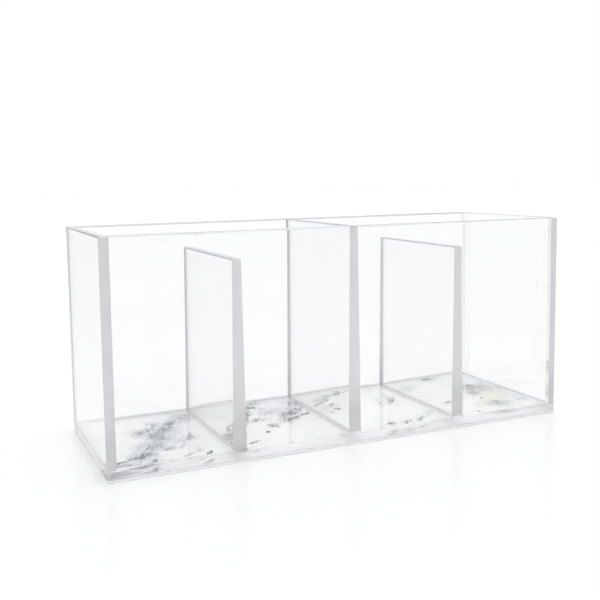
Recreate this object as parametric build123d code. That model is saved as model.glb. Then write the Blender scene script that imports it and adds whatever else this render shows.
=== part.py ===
from build123d import *
import os

# An open-topped desk holder with four compartments in a row. Clear acrylic panels and dividers
# are bonded edge to face and stand on a clear base plate with a marble-print sheet under it.
# Millimetres. The origin is under the middle of the base, +X right, +Y back, +Z up.

# Outside of the holder
length = 229.0
depth = 78.0
height = 100.0

# Sheets that the pieces are cut from
panel_thickness = 4.0
base_thickness = 4.0
marble_thickness = 1.0

# Dividers: thicker at the foot than at the top edge, and the outer two stop short of the rim
divider_top_thickness = 4.0
divider_foot_thickness = 6.2
short_divider_drop = 12.0

# Small chamfer that takes the sharpness off every exposed edge
edge_ease = 0.4

# Places that follow from those sizes
left, right = -length / 2, length / 2
front, back = -depth / 2, depth / 2
inner_left, inner_right = left + panel_thickness, right - panel_thickness
inner_front, inner_back = front + panel_thickness, back - panel_thickness
base_bottom = marble_thickness
floor = base_bottom + base_thickness

# Four equal mouths along the rim set the distance from one divider to the next
compartment_count = 4
divider_pitch = (inner_right - inner_left + divider_top_thickness) / compartment_count


def sheet(low, high):
    """A flat sheet that fills the box between two opposite corners."""
    size = [far - near for near, far in zip(low, high)]
    return Pos(*low) * Box(*size, align=(Align.MIN, Align.MIN, Align.MIN))


def top_edges(piece, direction):
    """The edges of a piece's top face that run along one direction."""
    return piece.edges().filter_by(direction).group_by(Axis.Z)[-1]


def footprint_sheet(bottom, top):
    """A sheet as wide and deep as the holder, with its four corners eased."""
    plate = sheet((left, front, bottom), (right, back, top))
    return chamfer(plate.edges().filter_by(Axis.Z), edge_ease)


def long_panel(near, far):
    """The front or back panel, which fits between the two end panels."""
    panel = sheet((inner_left, near, floor), (inner_right, far, height))
    return chamfer(top_edges(panel, Axis.X), edge_ease)


def end_panel(outer, inner):
    """The left or right panel, as deep as the holder, so that its narrow edges show at the corners."""
    panel = sheet((min(outer, inner), front, floor), (max(outer, inner), back, height))
    corners = panel.edges().filter_by(Axis.Z).filter_by_position(Axis.X, outer, outer)
    return chamfer(corners + top_edges(panel, Axis.Y) + top_edges(panel, Axis.X), edge_ease)


def divider(middle, top):
    """A wall across the holder, between the front and back panels, that tapers up from its foot."""
    half_foot = divider_foot_thickness / 2
    half_top = divider_top_thickness / 2
    outline = Polygon(
        (middle - half_foot, floor),
        (middle + half_foot, floor),
        (middle + half_top, top),
        (middle - half_top, top),
        align=None,
    )
    wall = extrude(Plane.XZ.offset(-inner_back) * outline, amount=inner_back - inner_front)
    return chamfer(top_edges(wall, Axis.Y), edge_ease)


short_top = height - short_divider_drop

pieces = {
    "marble_sheet": footprint_sheet(0, base_bottom),
    "base_plate": footprint_sheet(base_bottom, floor),
    "front_panel": long_panel(front, inner_front),
    "back_panel": long_panel(inner_back, back),
    "left_end_panel": end_panel(left, inner_left),
    "right_end_panel": end_panel(right, inner_right),
    "left_divider": divider(-divider_pitch, short_top),
    "centre_divider": divider(0, height),
    "right_divider": divider(divider_pitch, short_top),
}

os.makedirs("parts", exist_ok=True)
for name, piece in pieces.items():
    export_step(piece, f"parts/{name}.step")
    size = piece.bounding_box().size
    print(f"{name}: {size.X:.1f} x {size.Y:.1f} x {size.Z:.1f} mm")
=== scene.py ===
# %% [markdown]
# A clear holder on a marble base, dressed for a picture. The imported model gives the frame: nine pieces at
# their real size, in metres. Nothing here moves them. Each clear sheet is modelled again with the fine
# details that light needs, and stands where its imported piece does.

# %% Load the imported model
import math

import bmesh
import bpy
from mathutils import Matrix, Vector


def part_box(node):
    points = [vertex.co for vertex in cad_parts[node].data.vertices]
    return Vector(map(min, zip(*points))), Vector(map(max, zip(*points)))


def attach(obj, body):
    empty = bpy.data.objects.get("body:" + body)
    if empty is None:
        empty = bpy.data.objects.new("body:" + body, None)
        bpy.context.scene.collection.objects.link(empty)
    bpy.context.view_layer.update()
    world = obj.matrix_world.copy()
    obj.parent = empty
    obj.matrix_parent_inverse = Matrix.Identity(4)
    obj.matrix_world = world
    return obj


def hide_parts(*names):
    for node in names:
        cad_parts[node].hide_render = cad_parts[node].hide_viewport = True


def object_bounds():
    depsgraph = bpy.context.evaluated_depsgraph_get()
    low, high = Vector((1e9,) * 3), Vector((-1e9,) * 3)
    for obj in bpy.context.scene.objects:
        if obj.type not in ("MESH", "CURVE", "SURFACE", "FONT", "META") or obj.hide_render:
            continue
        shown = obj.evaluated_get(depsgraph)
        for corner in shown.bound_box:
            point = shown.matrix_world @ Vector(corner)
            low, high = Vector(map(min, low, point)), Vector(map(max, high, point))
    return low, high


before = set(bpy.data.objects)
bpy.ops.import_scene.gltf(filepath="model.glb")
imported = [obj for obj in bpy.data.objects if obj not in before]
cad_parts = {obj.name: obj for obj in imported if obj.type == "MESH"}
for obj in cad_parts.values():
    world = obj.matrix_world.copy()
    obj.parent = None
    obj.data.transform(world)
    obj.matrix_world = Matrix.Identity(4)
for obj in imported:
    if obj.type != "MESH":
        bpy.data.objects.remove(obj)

scene = bpy.context.scene
cad_low, cad_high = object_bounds()
print("packed pieces:", ", ".join(sorted(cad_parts)))

# %% [markdown]
# The camera comes first, because every later choice is judged through it. Its place and turn were worked
# out from the straight edges of the box in the photograph: where parallel edges run together fixes the
# turn, and how fast they shrink fixes the distance. The shift is there because the photograph was cropped
# off centre.

# %% Camera
CAMERA_PLACE = (-0.17777, -0.36885, 0.12324)
CAMERA_YAW = 24.005
CAMERA_PITCH = 5.919
CAMERA_ROLL = 0.766
CAMERA_LENS = 50.29
CAMERA_SHIFT = (0.0107, -0.0647)

camera_data = bpy.data.cameras.new("camera")
camera_data.sensor_width = 36.0
camera_data.lens = CAMERA_LENS
camera_data.shift_x, camera_data.shift_y = CAMERA_SHIFT
camera_data.clip_start = 0.01
camera = bpy.data.objects.new("camera", camera_data)
turn = Matrix.Rotation(-math.radians(CAMERA_YAW), 4, "Z")
tilt = Matrix.Rotation(math.radians(90.0 - CAMERA_PITCH), 4, "X")
roll = Matrix.Rotation(-math.radians(CAMERA_ROLL), 4, "Z")
camera.matrix_world = Matrix.Translation(CAMERA_PLACE) @ turn @ tilt @ roll
scene.collection.objects.link(camera)
scene.camera = camera
print("camera", tuple(round(value, 4) for value in camera.location), "lens", camera_data.lens)

# %% [markdown]
# Every material below is a small web of nodes. Writing each node out by hand would bury the idea, so one
# helper adds a node, sets its options and plugs in its inputs. An input may be a plain value or the output
# of an earlier node. A second helper starts a material with an empty web.

# %% Shader nodes
def add(tree, kind, inputs=None, **options):
    """Adds one shader node, sets its options and fills its inputs, and gives the node back."""
    made = tree.nodes.new("ShaderNode" + kind)
    for name, value in options.items():
        setattr(made, name, value)
    for name, value in (inputs or {}).items():
        if isinstance(value, bpy.types.NodeSocket):
            tree.links.new(value, made.inputs[name])
        else:
            made.inputs[name].default_value = value
    return made


def new_material(name):
    """A material with an empty node tree and an output node, which are given back with it."""
    material = bpy.data.materials.new(name)
    material.use_nodes = True
    material.node_tree.nodes.clear()
    output = add(material.node_tree, "OutputMaterial")
    return material, material.node_tree, output


# %% [markdown]
# Three steps come back again and again: a sum on two numbers, a soft change from one level to another, and
# a blend of two colours. Each gets a name, so that a material reads as a recipe. The blend finds its
# sockets by number, because a Mix node has several sockets of the same name.

# %% Numbers and colours in nodes
def maths(tree, operation, first, second=0.0):
    """One sum on two numbers."""
    return add(tree, "Math", {0: first, 1: second}, operation=operation).outputs[0]


def between(tree, value, low, high, to_low=0.0, to_high=1.0):
    """Eases from one level to another as a value goes from low to high."""
    return add(tree, "MapRange", {
        "Value": value,
        "From Min": low,
        "From Max": high,
        "To Min": to_low,
        "To Max": to_high,
    }, interpolation_type="SMOOTHSTEP").outputs["Result"]


def mixed(tree, amount, first, second):
    """A colour that goes from the first to the second as the amount goes from 0 to 1."""
    mix = add(tree, "Mix", data_type="RGBA")
    for socket, value in zip((mix.inputs[0], mix.inputs[6], mix.inputs[7]), (amount, first, second)):
        if isinstance(value, bpy.types.NodeSocket):
            tree.links.new(value, socket)
        else:
            socket.default_value = value
    return mix.outputs[2]


# %% [markdown]
# Clear plastic has no look of its own: it shows the room. Lamps would show in it as bright spots, and a
# white room all round would hide it. So the studio itself gives the light. It is white behind the holder,
# brighter overhead, and dimmer behind the camera and on the left, and the sheets mirror a little of the dim
# sides. The light overhead is set so that the floor comes out as white as the wall, and no line shows where
# the two meet. Each light eases into the next over a span of directions, where -1 and 1 are straight one
# way and straight the other.

# %% Studio light
WALL_LIGHT = 1.0
ROOM_LIGHT = 0.66
LEFT_LIGHT = 0.72
CEILING_LIGHT = 0.73
ROOM_TO_WALL = (-0.75, -0.35)
LEFT_TO_MIDDLE = (-0.2, 0.0)
WALL_TO_CEILING = (0.45, 0.95)

scene.view_settings.view_transform = "Standard"
studio = bpy.data.worlds.new("studio")
studio.use_nodes = True
scene.world = studio
sky = studio.node_tree
direction = add(sky, "SeparateXYZ", {"Vector": add(sky, "TexCoord").outputs["Generated"]})
depth = between(sky, direction.outputs["Y"], *ROOM_TO_WALL, ROOM_LIGHT, WALL_LIGHT)
sideways = between(sky, direction.outputs["X"], *LEFT_TO_MIDDLE, LEFT_LIGHT, 1.0)
walls = maths(sky, "MULTIPLY", depth, sideways)
ceiling = between(sky, direction.outputs["Z"], *WALL_TO_CEILING, 0.0, CEILING_LIGHT)
sky.links.new(maths(sky, "ADD", walls, ceiling), sky.nodes["Background"].inputs["Strength"])
sky.nodes["Background"].inputs["Color"].default_value = (1.0, 1.0, 1.0, 1.0)
print("studio light:", WALL_LIGHT, "behind,", ROOM_LIGHT, "in front,", CEILING_LIGHT, "more overhead")

# %% [markdown]
# Light has to cross many faces to get through this object: each wall has two, and a sheet seen on its edge
# bounces light along inside it. The default number of bounces cuts such paths short and leaves black edges,
# so more are allowed here. The renderer also blurs clear sheets for light that has bounced off something
# matt, to save time. That swallows much of the light on the base, so it is switched off.

# %% Light paths
LIGHT_BOUNCES = 32

scene.cycles.max_bounces = LIGHT_BOUNCES
scene.cycles.diffuse_bounces = LIGHT_BOUNCES
scene.cycles.transmission_bounces = LIGHT_BOUNCES
scene.cycles.glossy_bounces = LIGHT_BOUNCES
scene.cycles.blur_glossy = 0.0
scene.cycles.use_denoising = True
print("light bounces:", LIGHT_BOUNCES)

# %% [markdown]
# The holder stands on a glossy white table that gives back a faint mirror image. One large square is
# enough. Its gloss is kept low, so that the mirror image stays pale, as it is in the photograph.

# %% Floor
FLOOR_HALF_SIZE = 6.0
FLOOR_CLEARANCE = 0.0001
TABLE_WHITE = (0.865, 0.865, 0.868, 1.0)
TABLE_ROUGHNESS = 0.16
TABLE_GLOSS = 0.25

floor_mesh = bpy.data.meshes.new("floor")
shape = bmesh.new()
bmesh.ops.create_grid(shape, x_segments=1, y_segments=1, size=FLOOR_HALF_SIZE)
bmesh.ops.translate(shape, verts=shape.verts, vec=(0.0, 0.0, -FLOOR_CLEARANCE))
shape.to_mesh(floor_mesh)
shape.free()
floor = bpy.data.objects.new("floor", floor_mesh)
scene.collection.objects.link(floor)

table_white, tree, output = new_material("table_white")
gloss = add(tree, "BsdfPrincipled", {
    "Base Color": TABLE_WHITE,
    "Roughness": TABLE_ROUGHNESS,
    "Specular IOR Level": TABLE_GLOSS,
})
tree.links.new(gloss.outputs["BSDF"], output.inputs["Surface"])
floor_mesh.materials.append(table_white)
print("floor", 2 * FLOOR_HALF_SIZE, "m square")

# %% [markdown]
# Acrylic sheet bends light by 1.49 and takes almost nothing from it. What shows are the edges. The rims
# were polished after sawing, which leaves them a little cloudy, so they blur and dim the light that crosses
# them. A material for each cloudiness would do, but one is less to look after: an attribute on the faces of
# each sheet says how cloudy they are, and the material reads it.

# %% Clear acrylic
ACRYLIC_BEND = 1.49
CAST_CLEAR = (0.985, 0.985, 0.988, 1.0)
RIM_CLOUD = (0.50, 0.50, 0.52, 1.0)
RIM_HAZE = 0.45

clear_acrylic, tree, output = new_material("clear_acrylic")
cloudy = add(tree, "Attribute", attribute_name="cloudy", attribute_type="GEOMETRY").outputs["Fac"]
acrylic = add(tree, "BsdfPrincipled", {
    "Base Color": mixed(tree, cloudy, CAST_CLEAR, RIM_CLOUD),
    "Transmission Weight": 1.0,
    "IOR": ACRYLIC_BEND,
    "Roughness": maths(tree, "MULTIPLY", cloudy, RIM_HAZE),
})
tree.links.new(acrylic.outputs["BSDF"], output.inputs["Surface"])
print("clear acrylic: bends light by", ACRYLIC_BEND)

# %% [markdown]
# The upright edges, the tops of the dividers and the feet were left as the saw cut them. They are frosted:
# about half of the light scatters back from them and the rest goes in, so that a sheet seen on its edge
# reads as an even pale grey band. The sides of the base plate were sanded finer. They let in more light,
# and a faint copy of the print shows through them. One function makes both finishes, with fine saw marks
# across the sheet.

# %% Frosted edges
SAWN_PALE = (0.98, 0.975, 0.99, 1.0)
SAWN_GREY = (0.64, 0.635, 0.665, 1.0)
SAW_MARK_DEPTH = 0.12
SAW_MARKS_PER_METRE = 700.0
SAW_STROKE = (0.1, 0.1, 1.0)


def frosted_edge(name, light_let_in, roughness):
    """A frosted material with saw marks, which lets in a share of the light and scatters the rest back."""
    material, tree, output = new_material(name)
    where = add(tree, "TexCoord").outputs["Object"]
    strokes = add(tree, "VectorMath", {0: where, 1: SAW_STROKE}, operation="MULTIPLY").outputs[0]
    marks = add(tree, "TexNoise", {"Vector": strokes, "Scale": SAW_MARKS_PER_METRE, "Detail": 3.0})
    mark_depth = maths(tree, "MULTIPLY", marks.outputs["Fac"], SAW_MARK_DEPTH)
    cloudy = add(tree, "Attribute", attribute_name="cloudy", attribute_type="GEOMETRY").outputs["Fac"]
    greyness = maths(tree, "ADD", cloudy, mark_depth)
    frosted = add(tree, "BsdfPrincipled", {
        "Base Color": mixed(tree, greyness, SAWN_PALE, SAWN_GREY),
        "Transmission Weight": light_let_in,
        "IOR": ACRYLIC_BEND,
        "Roughness": roughness,
    })
    tree.links.new(frosted.outputs["BSDF"], output.inputs["Surface"])
    print(name, "lets in", light_let_in, "of the light")
    return material


sawn_edge = frosted_edge("sawn_edge", light_let_in=0.55, roughness=0.2)
sanded_side = frosted_edge("sanded_side", light_let_in=0.68, roughness=0.11)

# %% [markdown]
# Each sheet of the holder is a plain slab. It starts as a cube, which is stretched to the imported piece's
# box. Where a joint is clear, one sheet dips into the next by the thickness of a cement line, so that light
# goes through without meeting air: the renderer would take faces that only touch for a gap. Where a joint
# is open, the sheet is drawn back by as much.

# %% Blocks for the sheets
CEMENT_LINE = 0.00004


def sheet_block(name, dips_low=(0, 0, 0), dips_high=(0, 0, 0)):
    """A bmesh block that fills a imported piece's box. 1 marks a side that dips in, and -1 one drawn back."""
    low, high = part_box(name)
    low = low - CEMENT_LINE * Vector(dips_low)
    high = high + CEMENT_LINE * Vector(dips_high)
    block = bmesh.new()
    bmesh.ops.create_cube(block, size=1.0)
    bmesh.ops.scale(block, verts=block.verts, vec=high - low)
    bmesh.ops.translate(block, verts=block.verts, vec=(low + high) / 2)
    return block


print("cement line:", CEMENT_LINE, "m")

# %% [markdown]
# The edges that a hand can reach are rounded, and the edges in the joints stay square. A Bevel modifier
# would round them all alike, so the bmesh bevel is given only the chosen ones. Two small tests help to
# choose: whether an edge lies along the top of a block, and which way it runs.

# %% Rounded edges
EDGE_RADIUS = 0.0007
EDGE_STEPS = 3
NEARLY_ALONG = 0.9
X, Y, Z = range(3)


def round_edges(block, chosen):
    """Rounds the chosen edges of a block."""
    bmesh.ops.bevel(block, geom=chosen, offset=EDGE_RADIUS, offset_type="OFFSET", affect="EDGES",
                    segments=EDGE_STEPS, profile=0.5, material=-1)


def on_top(edge, block):
    """True for an edge that lies along the top of a block."""
    top = max(vert.co.z for vert in block.verts)
    return all(abs(vert.co.z - top) < CEMENT_LINE for vert in edge.verts)


def runs_along(edge, axis):
    """True for an edge that runs along one axis."""
    step = edge.verts[1].co - edge.verts[0].co
    return abs(step.normalized()[axis]) > NEARLY_ALONG


print("rounded edges:", EDGE_RADIUS, "m")

# %% [markdown]
# A finished block becomes an object with clear acrylic and, where it was cut, a frosted finish. The faces
# could be picked by number, but asking each one which way it points still works when a size changes. A
# rounded edge beside a sawn side is sawn too, so a face belongs to a side as soon as it leans a little
# towards it.

# %% Placing a finished sheet
LEAN_UP = 0.1
LEAN_TO_SIDE = 0.2
FRONT = Vector((0.0, -1.0, 0.0))
BACK = Vector((0.0, 1.0, 0.0))
TOP = Vector((0.0, 0.0, 1.0))
FOOT = Vector((0.0, 0.0, -1.0))


def place_sheet(name, block, frosted):
    """Makes the object from its block, with this finish on its frosted faces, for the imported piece."""
    mesh = bpy.data.meshes.new("clear_" + name)
    block.to_mesh(mesh)
    block.free()
    mesh.materials.append(clear_acrylic)
    if any(polygon.material_index for polygon in mesh.polygons):
        mesh.materials.append(frosted)
    piece = bpy.data.objects.new("clear_" + name, mesh)
    scene.collection.objects.link(piece)
    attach(piece, "root")
    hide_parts(name)
    print(piece.name, "faces:", len(mesh.polygons))


def finish_sheet(name, block, rim_cloud, sawn_sides):
    """Marks the cloudy rim and the sawn sides of a block, each with its cloudiness, and places the block."""
    block.normal_update()
    cloudy_layer = block.faces.layers.float.new("cloudy")
    for face in block.faces:
        face[cloudy_layer] = rim_cloud if face.normal.z > LEAN_UP else 0.0
        for side, cloud in sawn_sides:
            if face.normal.dot(side) > LEAN_TO_SIDE:
                face.material_index = 1
                face[cloudy_layer] = cloud
    place_sheet(name, block, sawn_edge)


# %% [markdown]
# The front and back panels are strips of sheet that sit between the end panels, so only the two long edges
# of their rim can be touched. One loop makes both. The foot of the back panel shows as a thin grey line
# along the back of the base, so it is sawn. The front one is cemented clear, and no line shows there.

# %% Front and back panels
FRONT_RIM_CLOUD = 0.42
BACK_RIM_CLOUD = 0.95
FOOT_CLOUD = 1.0

for name, rim_cloud, sawn_sides in (
    ("front_panel", FRONT_RIM_CLOUD, ()),
    ("back_panel", BACK_RIM_CLOUD, ((FOOT, FOOT_CLOUD),)),
):
    block = sheet_block(name, dips_low=(-1, 0, 1), dips_high=(-1, 0, 0))
    round_edges(block, [edge for edge in block.edges if on_top(edge, block) and runs_along(edge, X)])
    finish_sheet(name, block, rim_cloud, sawn_sides)

# %% [markdown]
# The end panels reach the full depth of the box, so their narrow edges show at all four corners as grey
# bands. Their whole rim is rounded, and so are the two upright edges on the outside. Those on the inside
# stay square, because the front and back panels meet them there.

# %% End panels
CROSS_RIM_CLOUD = 0.25
END_CLOUD = 0.45
END_FOOT_CLOUD = 0.5

for name, outside in (("left_end_panel", cad_low.x), ("right_end_panel", cad_high.x)):
    block = sheet_block(name, dips_low=(0, 0, 1))
    rim = [edge for edge in block.edges if on_top(edge, block)]
    upright = [
        edge for edge in block.edges
        if runs_along(edge, Z) and abs(edge.verts[0].co.x - outside) < CEMENT_LINE
    ]
    round_edges(block, rim + upright)
    sawn_sides = ((FRONT, END_CLOUD), (BACK, END_CLOUD), (FOOT, END_FOOT_CLOUD))
    finish_sheet(name, block, CROSS_RIM_CLOUD, sawn_sides)

# %% [markdown]
# A divider is as thick as the panels at its top and thicker at its foot. Such a wedge could be cut from a
# thick block, but a block has only eight corners, so the four at the top are drawn together. Its top, its
# foot and both its narrow edges are sawn.

# %% Dividers
TOP_CLOUD = 0.6
panel_low, panel_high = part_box("front_panel")
divider_top = panel_high.y - panel_low.y

for name in ("left_divider", "centre_divider", "right_divider"):
    block = sheet_block(name, dips_low=(0, 1, 1), dips_high=(0, 1, 0))
    low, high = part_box(name)
    middle = (low + high) / 2
    for vert in block.verts:
        if vert.co.z > middle.z:
            vert.co.x = middle.x + math.copysign(divider_top / 2, vert.co.x - middle.x)
    round_edges(block, [edge for edge in block.edges if on_top(edge, block) and runs_along(edge, Y)])
    sawn_sides = ((FRONT, 0.0), (BACK, 0.0), (TOP, TOP_CLOUD), (FOOT, FOOT_CLOUD))
    finish_sheet(name, block, 0.0, sawn_sides)

# %% [markdown]
# The base plate is cemented to the print all over, so it dips into the printed sheet. Its four upright
# corners are rounded. Its upright sides are sanded, and the print shows through them as a faint copy. The
# copy could be painted on, but here it comes by itself from the way the plate bends light.

# %% Base plate
BASE_LONG_CLOUD = 0.1
BASE_END_CLOUD = 0.6

block = sheet_block("base_plate", dips_low=(0, 0, 1))
round_edges(block, [edge for edge in block.edges if runs_along(edge, Z)])
block.normal_update()
cloudy_layer = block.faces.layers.float.new("cloudy")
for face in block.faces:
    if abs(face.normal.z) < LEAN_UP:
        face.material_index = 1
        face[cloudy_layer] = BASE_END_CLOUD if abs(face.normal.x) > abs(face.normal.y) else BASE_LONG_CLOUD
place_sheet("base_plate", block, sanded_side)

# %% [markdown]
# The print copies white marble: blue-grey clouds that lie in slanting banks, dark broken veins along their
# edges and a few loose flecks. One noise texture could give marble of some kind, but not these banks in
# these places. So each bank and vein is a soft oval that is given one by one, and noise then bends it and
# frays it. The noise is drawn out along the slant of the veins, as the grain of pressed stone is.

# %% Noise for the print
def noise(tree, where, scale, detail, roughness):
    """A noise pattern about zero, with its fineness in waves per millimetre."""
    made = add(tree, "TexNoise", {"Vector": where, "Scale": scale, "Detail": detail, "Roughness": roughness})
    return maths(tree, "SUBTRACT", made.outputs["Fac"], 0.5)


def bent(tree, where, scale, reach):
    """Moves every point of a pattern to and fro by a noise, up to about half the reach."""
    swirl = add(tree, "TexNoise", {"Vector": where, "Scale": scale, "Detail": 3.0})
    centred = add(tree, "VectorMath", {0: swirl.outputs["Color"], 1: (0.5, 0.5, 0.5)}, operation="SUBTRACT")
    push = add(tree, "VectorMath", {0: centred.outputs[0], 1: (reach, reach, 0.0)}, operation="MULTIPLY")
    return add(tree, "VectorMath", {0: where, 1: push.outputs[0]}, operation="ADD").outputs[0]


def drawn_out(tree, where, turn_deg, stretch):
    """The points as seen by a pattern that is drawn out along one direction."""
    return add(tree, "Mapping", {
        "Vector": where,
        "Rotation": (0.0, 0.0, math.radians(turn_deg)),
        "Scale": (stretch, 1.0, 1.0),
    }, vector_type="TEXTURE").outputs["Vector"]


# %% [markdown]
# An oval has a middle, a reach along and a reach across. A dot product can tell how far a point lies from
# the middle in one direction, and two of them give the distance. A Mapping node and a round gradient for
# each oval would do too, but plain sums are quick, and there are about a hundred ovals. Noise is added to
# them before the cut-off, and not multiplied after it: that is what gives the ragged islands.

# %% Soft ovals
MASK_END = (0.02, 0.2)


def ovals(tree, where, marks, wider):
    """The sum of several soft ovals at each point, all of them made wider by as much."""
    # every point gets a 1 as its third number, so that the dot product can take the oval's middle away
    lifted = add(tree, "VectorMath", {0: where, 1: (0.0, 0.0, 1.0)}, operation="ADD").outputs[0]
    total = 0.0
    for x, y, along, across, turn_deg, strength in marks:
        turn = math.radians(turn_deg)
        squared = 0.0
        for way, reach in ((turn, along), (turn + math.pi / 2, across * wider)):
            per_x = math.cos(way) / reach
            per_y = math.sin(way) / reach
            ramp = (per_x, per_y, -per_x * x - per_y * y)
            step = add(tree, "VectorMath", {0: lifted, 1: ramp}, operation="DOT_PRODUCT").outputs["Value"]
            squared = add(tree, "Math", {0: step, 1: step, 2: squared}, operation="MULTIPLY_ADD").outputs[0]
        distance = maths(tree, "SQRT", squared)
        total = maths(tree, "ADD", between(tree, distance, 0.0, 1.0, strength, 0.0), total)
    return total


def frayed(tree, mask, *frays):
    """A soft mask with noises added to it, each with its own depth, and nothing where the mask ends."""
    rough = mask
    for fray, depth in frays:
        rough = maths(tree, "ADD", rough, maths(tree, "MULTIPLY", fray, depth))
    return maths(tree, "MULTIPLY", rough, between(tree, mask, *MASK_END))


# %% [markdown]
# The marks below follow the marble of the photograph from left to right. Each has the x and y of its
# middle, its reach along and across, all in millimetres, its turn in degrees and its strength. The banks
# come first. Chance could strew them, but then none would lie where it does on the real print.

# %% Where the banks lie
CLOUD_BANKS = [
    # first compartment: one long bank that bends away to the left at the front, with a thin ring to its right
    (-63.5, 27.5, 9.0, 5.0, 30.0, 1.4),
    (-70.0, 21.0, 11.0, 5.0, 55.0, 1.52),
    (-76.5, 11.0, 11.0, 5.0, 60.0, 1.62),
    (-83.0, 1.0, 12.0, 5.5, 70.0, 2.11),
    (-88.0, -11.5, 11.0, 5.0, 62.0, 1.85),
    (-95.0, -22.0, 10.0, 4.5, 35.0, 1.42),
    (-101.0, -23.5, 7.0, 3.5, 20.0, 1.22),
    (-87.5, 10.0, 13.0, 6.0, 58.0, 1.3),
    (-79.6, 19.7, 8.0, 5.0, 40.0, 1.0),
    (-94.0, -10.0, 13.0, 5.0, 55.0, 0.51),
    (-73.0, -3.0, 13.0, 9.0, 60.0, 0.41),
    (-76.5, -9.0, 5.0, 3.0, 10.0, 0.7),
    (-76.0, -16.7, 6.0, 3.0, 40.0, 0.7),
    (-70.0, -5.5, 9.0, 2.5, 58.0, 0.81),
    (-82.0, -17.5, 7.0, 3.5, 20.0, 0.86),
    (-110.0, -33.0, 13.0, 6.0, 20.0, 0.81),
    (-95.0, -31.0, 12.0, 5.0, 10.0, 0.9),
    (-70.0, -22.5, 10.0, 2.0, 52.0, 0.51),
    (-107.0, -31.0, 9.0, 5.0, 20.0, 0.8),
    # second compartment: thin streaks on the left and a broad bank to their right
    (-49.8, -14.5, 20.0, 4.0, 62.0, 0.8),
    (-28.0, 30.0, 10.0, 4.0, 55.0, 1.15),
    (-21.5, 34.0, 8.0, 3.0, 20.0, 1.0),
    (-33.0, 18.0, 10.0, 3.0, 68.0, 1.15),
    (-38.5, 3.5, 10.0, 2.5, 68.0, 1.0),
    (-31.7, 5.3, 7.0, 4.0, 60.0, 0.7),
    (-22.0, 14.5, 11.0, 3.0, 21.0, 0.8),
    (-4.5, 25.5, 9.0, 5.5, 40.0, 1.1),
    (-2.0, 21.0, 10.0, 5.0, 35.0, 0.7),
    (-11.5, 12.5, 14.0, 6.0, 35.0, 0.9),
    (-17.0, 5.0, 12.0, 5.0, 35.0, 0.7),
    (-19.0, -1.0, 14.0, 5.0, 32.0, 0.7),
    (-29.0, -6.5, 6.0, 3.0, 109.0, 0.8),
    (-24.0, 22.0, 9.0, 6.0, 50.0, 0.3),
    # third compartment: the bank goes on at the back, and smudges lie at the front
    (11.0, 22.5, 8.0, 3.5, 45.0, 0.7),
    (18.0, 26.5, 10.0, 4.0, 35.0, 0.95),
    (28.0, 30.0, 9.0, 3.5, 30.0, 0.8),
    (12.5, 9.0, 10.0, 5.0, 42.0, 0.5),
    (42.0, 8.0, 20.0, 7.0, 50.0, 0.45),
    (28.0, -31.0, 16.0, 6.0, 15.0, 0.5),
    (45.0, -23.0, 14.0, 3.0, 44.0, 0.45),
    # fourth compartment: softer and paler clouds round a stain
    (67.0, 22.0, 14.0, 5.0, 50.0, 0.75),
    (86.0, 32.0, 11.0, 6.0, 10.0, 0.95),
    (71.0, -11.0, 9.0, 2.5, 29.0, 0.8),
    (101.0, 8.0, 16.0, 8.0, 50.0, 1.1),
    (96.5, 11.0, 9.0, 3.5, 52.0, 2.1),
    (91.5, 0.5, 8.0, 3.5, 65.0, 1.9),
    (86.0, -7.0, 9.0, 5.0, 20.0, 0.43),
    (91.0, -22.0, 12.0, 6.0, 175.0, 1.7),
    (98.0, 4.0, 22.0, 13.0, 50.0, 0.41),
    (107.0, -8.0, 9.0, 4.0, 80.0, 0.49),
    (107.0, -22.0, 8.0, 5.0, 30.0, 0.41),
]
print("banks:", len(CLOUD_BANKS))

# %% [markdown]
# The dark veins are thin and short. They run along the edges of the banks and break up into flecks, or lie
# alone in the white. They are laid down in the same way, because the eye goes to them first.

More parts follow.
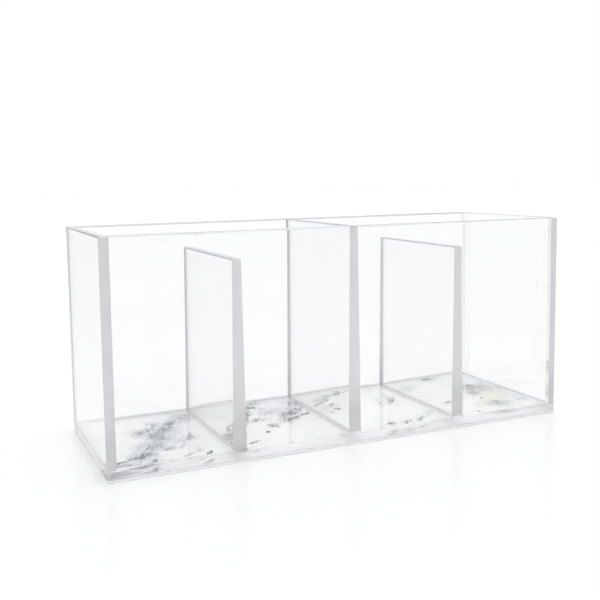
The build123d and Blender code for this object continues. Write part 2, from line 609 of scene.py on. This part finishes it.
# %% Where the dark veins lie
DARK_VEINS = [
    # first compartment
    (-73.0, 18.2, 2.0, 1.2, 40.0, 1.0),
    (-63.5, 21.5, 3.0, 1.0, 25.0, 0.7),
    (-97.0, -23.3, 9.0, 1.4, 12.0, 0.5),
    (-106.0, -26.2, 8.0, 0.6, 20.0, 0.55),
    (-111.0, -31.0, 6.0, 1.0, 30.0, 0.5),
    (-109.5, -26.8, 5.0, 1.0, 10.0, 0.65),
    (-104.0, -31.5, 3.0, 1.2, 30.0, 0.8),
    (-111.0, -35.0, 4.0, 1.4, 40.0, 0.8),
    (-93.0, -29.8, 3.5, 1.2, 20.0, 0.65),
    (-97.0, -34.0, 5.0, 1.0, 20.0, 0.55),
    (-83.4, -17.0, 5.0, 1.2, 30.0, 0.45),
    (-77.5, -29.3, 6.0, 0.7, 26.0, 0.6),
    (-69.1, -30.8, 6.0, 0.8, 51.0, 1.0),
    (-72.5, -37.0, 4.5, 0.6, 55.0, 0.7),
    # second compartment
    (-49.2, -14.0, 8.0, 2.4, 66.0, 1.3),
    (-45.0, -1.5, 8.0, 1.2, 62.0, 0.9),
    (-52.0, -23.0, 7.0, 1.2, 62.0, 0.8),
    (-30.0, 27.0, 4.0, 1.6, 60.0, 0.9),
    (-26.8, 25.6, 3.0, 1.4, 30.0, 0.9),
    (-35.0, 13.0, 12.0, 1.1, 68.0, 0.75),
    (-32.5, 5.5, 4.5, 1.2, 60.0, 0.8),
    (-11.5, 10.5, 14.0, 2.4, 35.0, 0.6),
    (-15.0, 0.5, 12.0, 1.3, 30.0, 0.8),
    (-6.5, 4.6, 5.0, 1.1, 33.0, 0.9),
    (-28.8, -7.0, 5.0, 1.3, 109.0, 0.85),
    (-34.7, -14.5, 3.0, 0.8, 50.0, 0.85),
    (-46.7, -26.0, 6.5, 0.7, 26.0, 0.85),
    # third compartment
    (9.5, 16.0, 6.0, 0.9, 35.0, 0.8),
    (15.5, 20.5, 6.0, 1.1, 38.0, 0.85),
    (14.5, 11.6, 5.5, 0.9, 42.0, 0.8),
    (26.5, 29.0, 5.5, 1.5, 65.0, 0.9),
    (14.6, 3.4, 3.5, 1.4, 60.0, 0.95),
    (9.6, 0.0, 2.5, 1.1, 60.0, 0.75),
    (44.0, 6.0, 11.0, 1.0, 50.0, 0.7),
    (22.5, -28.3, 4.5, 1.2, 14.0, 1.0),
    (19.0, -35.0, 3.0, 1.1, 30.0, 0.85),
    (30.6, -30.5, 4.5, 1.2, 62.0, 0.9),
    (40.5, -28.0, 6.5, 0.8, 46.0, 0.85),
    # fourth compartment
    (85.5, 33.2, 6.0, 1.6, 10.0, 0.75),
    (71.0, -11.0, 7.5, 0.6, 29.0, 0.5),
    (98.0, 14.5, 5.0, 1.2, 60.0, 0.6),
    (108.5, 16.1, 3.0, 0.8, 20.0, 0.8),
    (88.6, -11.5, 3.0, 0.9, 50.0, 0.55),
    (91.9, -18.6, 1.6, 0.8, 50.0, 0.8),
    (72.9, -30.1, 3.0, 0.9, 40.0, 0.6),
    (107.3, -14.4, 3.0, 0.9, 30.0, 0.55),
]
print("veins:", len(DARK_VEINS))

# %% [markdown]
# The print is not all grey: on the right, and faintly on the left, it is stained a warm cream. Stains are
# large and soft, so a few ovals are enough.

# %% Where the print is stained
WARM_STAINS = [
    (99.0, -9.0, 17.0, 13.0, 45.0, 1.4),
    (84.0, -20.0, 14.0, 8.0, 40.0, 1.0),
    (68.0, -12.0, 13.0, 6.0, 35.0, 0.55),
    (-106.0, 8.0, 20.0, 8.0, 70.0, 0.45),
]
print("stains:", len(WARM_STAINS))

# %% [markdown]
# Before any ink, the places where it goes are bent. The points are taken in millimetres and seen from
# above, so that the numbers stay handy. Banks drift far and veins only a little. A bend is given by its
# waves per millimetre and its reach, and a noise by its waves per millimetre, its detail and its roughness.
# The clouds on the right of the row are softer, so the grain fades there, and it is a little calmer in the
# first compartment too.

# %% Grain of the print
MM_PER_METRE = 1000.0
GRAIN_TURN = 64.0
GRAIN_STRETCH = 4.2
CALM_LEFT = (-65.0, -50.0)
CALM_LEFT_GRAIN = 0.85
SOFT_RIGHT = (40.0, 75.0)
SOFT_RIGHT_LOSS = 0.4
WIDE_DRIFT = (0.06, 6.0)
SMALL_DRIFT = (0.3, 3.0)
VEIN_WANDER = (0.3, 2.5)
BILLOW_NOISE = (0.25, 4.0, 0.6)
GRAIN_NOISE = (0.75, 3.0, 0.8)
SPECKLE_NOISE = (1.1, 3.0, 0.8)
SMUDGE_NOISE = (0.1, 5.0, 0.6)

marble_print, tree, output = new_material("marble_print")
object_place = add(tree, "TexCoord").outputs["Object"]
flat = (MM_PER_METRE, MM_PER_METRE, 0.0)
place = add(tree, "VectorMath", {0: object_place, 1: flat}, operation="MULTIPLY").outputs[0]
drifted = bent(tree, bent(tree, place, *WIDE_DRIFT), *SMALL_DRIFT)
crooked = bent(tree, place, *VEIN_WANDER)
grained = drawn_out(tree, drifted, GRAIN_TURN, GRAIN_STRETCH)

along_row = add(tree, "SeparateXYZ", {"Vector": place}).outputs["X"]
softer = between(tree, along_row, *SOFT_RIGHT)
calmer_left = between(tree, along_row, *CALM_LEFT, CALM_LEFT_GRAIN, 1.0)
rougher = maths(tree, "SUBTRACT", calmer_left, maths(tree, "MULTIPLY", softer, SOFT_RIGHT_LOSS))
billow = noise(tree, grained, *BILLOW_NOISE)
grain = maths(tree, "MULTIPLY", noise(tree, grained, *GRAIN_NOISE), rougher)
speckle = maths(tree, "MULTIPLY", noise(tree, grained, *SPECKLE_NOISE), rougher)
smudges = noise(tree, grained, *SMUDGE_NOISE)
print("grain of the print: turned", GRAIN_TURN, "degrees and drawn out", GRAIN_STRETCH, "times")

# %% [markdown]
# Each ink is a soft mask with noise added to it, and the number beside a noise says how much of it. The
# haze is the widest, the clouds lie inside it, and dark specks come out where the noise piles up most. The
# veins are thin, so they get the finest noise.

# %% Inks of the print
HAZE_SPREAD = 2.2
HAZE_STRENGTH = 0.9
BANK_SPREAD = 1.25
VEIN_SPREAD = 2.0
STAIN_SPREAD = 1.0

banks = ovals(tree, drifted, CLOUD_BANKS, BANK_SPREAD)
broad = maths(tree, "MULTIPLY", ovals(tree, drifted, CLOUD_BANKS, HAZE_SPREAD), HAZE_STRENGTH)
haze_ink = frayed(tree, broad, (billow, 2.2), (grain, 2.6))
cloud_ink = frayed(tree, banks, (billow, 2.4), (grain, 6.5))
speck_ink = frayed(tree, maths(tree, "MINIMUM", banks, 1.0), (billow, 2.4), (grain, 4.2))
vein_ink = frayed(tree, ovals(tree, crooked, DARK_VEINS, VEIN_SPREAD), (speckle, 8.0))
stain_ink = frayed(tree, ovals(tree, drifted, WARM_STAINS, STAIN_SPREAD), (billow, 1.2))
print("nodes in the inks:", len(tree.nodes))

# %% [markdown]
# The colours go from white through pale grey and blue grey to slate, and the inks are laid one over the
# other in that order. A fade says where an ink starts to show and where it is full. A bank darkens slowly
# as more noise piles up on it, and the veins are cut off sharply. Only the top of the sheet is printed: its
# edge and its underside stay white.

# %% Colours of the print
WHITE = (0.98, 0.98, 0.98, 1.0)
SMUDGE_GREY = (0.89, 0.895, 0.90, 1.0)
PALE_GREY = (0.78, 0.80, 0.815, 1.0)
BLUE_GREY = (0.36, 0.40, 0.44, 1.0)
STONE_GREY = (0.42, 0.415, 0.41, 1.0)
SLATE = (0.05, 0.055, 0.06, 1.0)
CREAM = (0.90, 0.88, 0.80, 1.0)
SMUDGE_FADE = (0.02, 0.22)
HAZE_FADE = (0.05, 0.85)
STAIN_FADE = (0.1, 0.8)
CLOUD_FADE = (0.2, 1.9)
SPECK_FADE = (1.2, 1.8)
VEIN_FADE = (0.35, 0.7)
FACING_UP = (0.4, 0.6)
INK_ROUGHNESS = 0.5

ground = mixed(tree, between(tree, smudges, *SMUDGE_FADE), WHITE, SMUDGE_GREY)
hazy = mixed(tree, between(tree, haze_ink, *HAZE_FADE), ground, PALE_GREY)
stained = mixed(tree, between(tree, stain_ink, *STAIN_FADE), hazy, CREAM)
cloud_grey = mixed(tree, softer, BLUE_GREY, STONE_GREY)
clouded = mixed(tree, between(tree, cloud_ink, *CLOUD_FADE), stained, cloud_grey)
specked = mixed(tree, between(tree, speck_ink, *SPECK_FADE), clouded, SLATE)
veined = mixed(tree, between(tree, vein_ink, *VEIN_FADE), specked, SLATE)
facing = add(tree, "SeparateXYZ", {"Vector": add(tree, "NewGeometry").outputs["Normal"]}).outputs["Z"]
printed_top = mixed(tree, between(tree, facing, *FACING_UP), WHITE, veined)

ink = add(tree, "BsdfPrincipled", {
    "Base Color": printed_top,
    "Roughness": INK_ROUGHNESS,
    "Specular IOR Level": 0.0,
})
tree.links.new(ink.outputs["BSDF"], output.inputs["Surface"])
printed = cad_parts["marble_sheet"]
printed.data.materials.clear()
printed.data.materials.append(marble_print)
print("printed piece:", printed.name)
